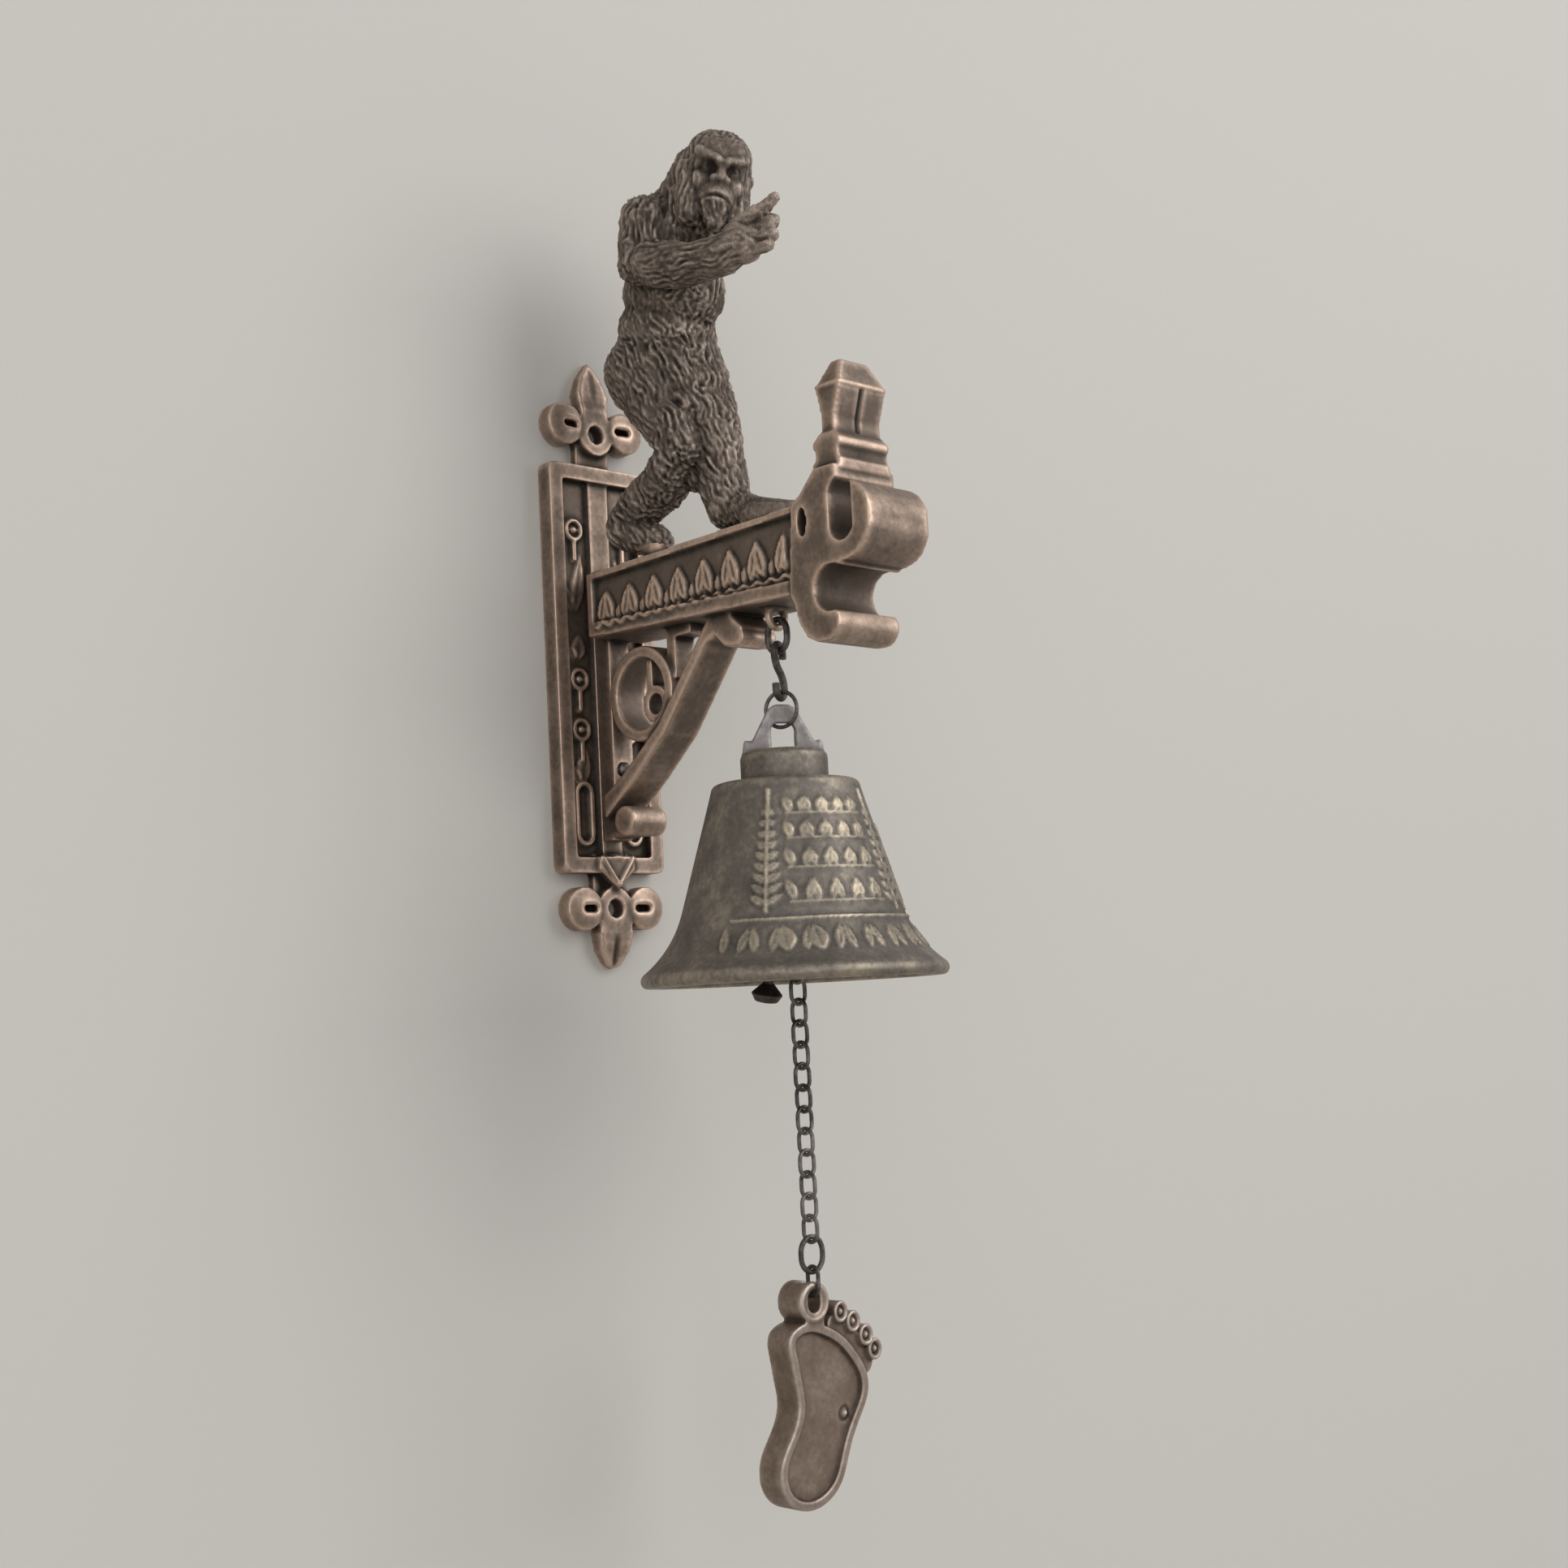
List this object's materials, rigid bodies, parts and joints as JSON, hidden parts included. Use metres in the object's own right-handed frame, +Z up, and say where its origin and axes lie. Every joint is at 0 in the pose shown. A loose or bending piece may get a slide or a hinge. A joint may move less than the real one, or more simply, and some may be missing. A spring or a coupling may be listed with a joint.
{
  "type": "wall bell",
  "caption": "Cast wall bell: backplate and bracket with a shaggy standing figure, a hanging bell, and a clapper rung by a pull chain with a foot-shaped pendant.",
  "frame": {"origin": "midway between the two wall screw holes, on the back face of the backplate", "axes": "+X right along the wall seen from the front, +Y into the wall, +Z up"},
  "size_m": [0.08, 0.1224, 0.3664],
  "materials": {
    "casting": "antique copper patina with worn bright edges",
    "bell": "antique bronze patina",
    "clapper": "dark bronze",
    "pendant": "antique copper patina with worn bright edges",
    "hardware": "dark bronzed wire",
    "chain": "dark bronzed wire"
  },
  "bodies": {
    "mounting": {"backplate": "casting", "bracket": "casting", "upper_fixing_screw": "hardware", "lower_fixing_screw": "hardware"},
    "hanger_link": {"hanger_link": "hardware"},
    "s_hook": {"s_hook": "hardware"},
    "bell_ring": {"bell_ring": "hardware"},
    "bell": {"bell": "bell", "clapper_eye": "hardware"},
    "clapper": {"clapper": "clapper"},
    "chain_link_01": {"chain_link_01": "chain"},
    "chain_link_02": {"chain_link_02": "chain"},
    "chain_link_03": {"chain_link_03": "chain"},
    "chain_link_04": {"chain_link_04": "chain"},
    "chain_link_05": {"chain_link_05": "chain"},
    "chain_link_06": {"chain_link_06": "chain"},
    "chain_link_07": {"chain_link_07": "chain"},
    "chain_link_08": {"chain_link_08": "chain"},
    "chain_link_09": {"chain_link_09": "chain"},
    "chain_link_10": {"chain_link_10": "chain"},
    "chain_link_11": {"chain_link_11": "chain"},
    "chain_link_12": {"chain_link_12": "chain"},
    "chain_link_13": {"chain_link_13": "chain"},
    "chain_link_14": {"chain_link_14": "chain"},
    "connector_ring": {"connector_ring": "hardware"},
    "pendant_link": {"pendant_link": "hardware"},
    "foot_pendant": {"foot_pendant": "pendant"}
  },
  "joints": [
    {"name": "hanger_swing", "type": "hinge", "parent": "mounting", "child": "hanger_link", "pos_m": [0, -0.0765, -0.0001], "axis": [1, 0, 0], "range_deg": [-30, 17]},
    {"name": "hook_swing", "type": "hinge", "parent": "hanger_link", "child": "s_hook", "pos_m": [0, -0.0765, -0.0066], "axis": [0, 1, 0], "range_deg": [-30, 30]},
    {"name": "ring_swing", "type": "hinge", "parent": "s_hook", "child": "bell_ring", "pos_m": [0, -0.0765, -0.0189], "axis": [-0.9397, -0.342, 0], "range_deg": [-22, 30]},
    {"name": "bell_swing", "type": "hinge", "parent": "bell_ring", "child": "bell", "pos_m": [0, -0.0765, -0.02663], "axis": [0.2756, -0.9613, 0], "range_deg": [-25, 25]},
    {"name": "clapper_swing", "type": "hinge", "parent": "bell", "child": "clapper", "pos_m": [0, -0.0765, -0.05033], "axis": [1, 0, 0], "range_deg": [-25, 22]},
    {"name": "link_01_swing", "type": "hinge", "parent": "clapper", "child": "chain_link_01", "pos_m": [0, -0.0772, -0.0825], "axis": [0, 1, 0], "range_deg": [-30, 30]},
    {"name": "link_02_swing", "type": "hinge", "parent": "chain_link_01", "child": "chain_link_02", "pos_m": [0, -0.0772, -0.088], "axis": [-1, 0, 0], "range_deg": [-22, 30]},
    {"name": "link_03_swing", "type": "hinge", "parent": "chain_link_02", "child": "chain_link_03", "pos_m": [0, -0.0772, -0.0935], "axis": [0, -1, 0], "range_deg": [-30, 30]},
    {"name": "link_04_swing", "type": "hinge", "parent": "chain_link_03", "child": "chain_link_04", "pos_m": [0, -0.0772, -0.099], "axis": [1, 0, 0], "range_deg": [-30, 30]},
    {"name": "link_05_swing", "type": "hinge", "parent": "chain_link_04", "child": "chain_link_05", "pos_m": [0, -0.0772, -0.1045], "axis": [0, 1, 0], "range_deg": [-30, 30]},
    {"name": "link_06_swing", "type": "hinge", "parent": "chain_link_05", "child": "chain_link_06", "pos_m": [0, -0.0772, -0.11], "axis": [-1, 0, 0], "range_deg": [-30, 30]},
    {"name": "link_07_swing", "type": "hinge", "parent": "chain_link_06", "child": "chain_link_07", "pos_m": [0, -0.0772, -0.1155], "axis": [0, -1, 0], "range_deg": [-30, 30]},
    {"name": "link_08_swing", "type": "hinge", "parent": "chain_link_07", "child": "chain_link_08", "pos_m": [0, -0.0772, -0.121], "axis": [1, 0, 0], "range_deg": [-30, 30]},
    {"name": "link_09_swing", "type": "hinge", "parent": "chain_link_08", "child": "chain_link_09", "pos_m": [0, -0.0772, -0.1265], "axis": [0, 1, 0], "range_deg": [-30, 30]},
    {"name": "link_10_swing", "type": "hinge", "parent": "chain_link_09", "child": "chain_link_10", "pos_m": [0, -0.0772, -0.132], "axis": [-1, 0, 0], "range_deg": [-30, 30]},
    {"name": "link_11_swing", "type": "hinge", "parent": "chain_link_10", "child": "chain_link_11", "pos_m": [0, -0.0772, -0.1375], "axis": [0, -1, 0], "range_deg": [-30, 30]},
    {"name": "link_12_swing", "type": "hinge", "parent": "chain_link_11", "child": "chain_link_12", "pos_m": [0, -0.0772, -0.143], "axis": [1, 0, 0], "range_deg": [-30, 30]},
    {"name": "link_13_swing", "type": "hinge", "parent": "chain_link_12", "child": "chain_link_13", "pos_m": [0, -0.0772, -0.1485], "axis": [0, 1, 0], "range_deg": [-30, 30]},
    {"name": "link_14_swing", "type": "hinge", "parent": "chain_link_13", "child": "chain_link_14", "pos_m": [0, -0.0772, -0.154], "axis": [-1, 0, 0], "range_deg": [-30, 30]},
    {"name": "connector_swing", "type": "hinge", "parent": "chain_link_14", "child": "connector_ring", "pos_m": [0, -0.0772, -0.1595], "axis": [0, -1, 0], "range_deg": [-30, 30]},
    {"name": "pendant_link_swing", "type": "hinge", "parent": "connector_ring", "child": "pendant_link", "pos_m": [0, -0.0772, -0.16693], "axis": [1, 0, 0], "range_deg": [-25, 25]},
    {"name": "foot_swing", "type": "hinge", "parent": "pendant_link", "child": "foot_pendant", "pos_m": [0, -0.0772, -0.17258], "axis": [0, -1, 0], "range_deg": [-20, 20]}
  ]
}
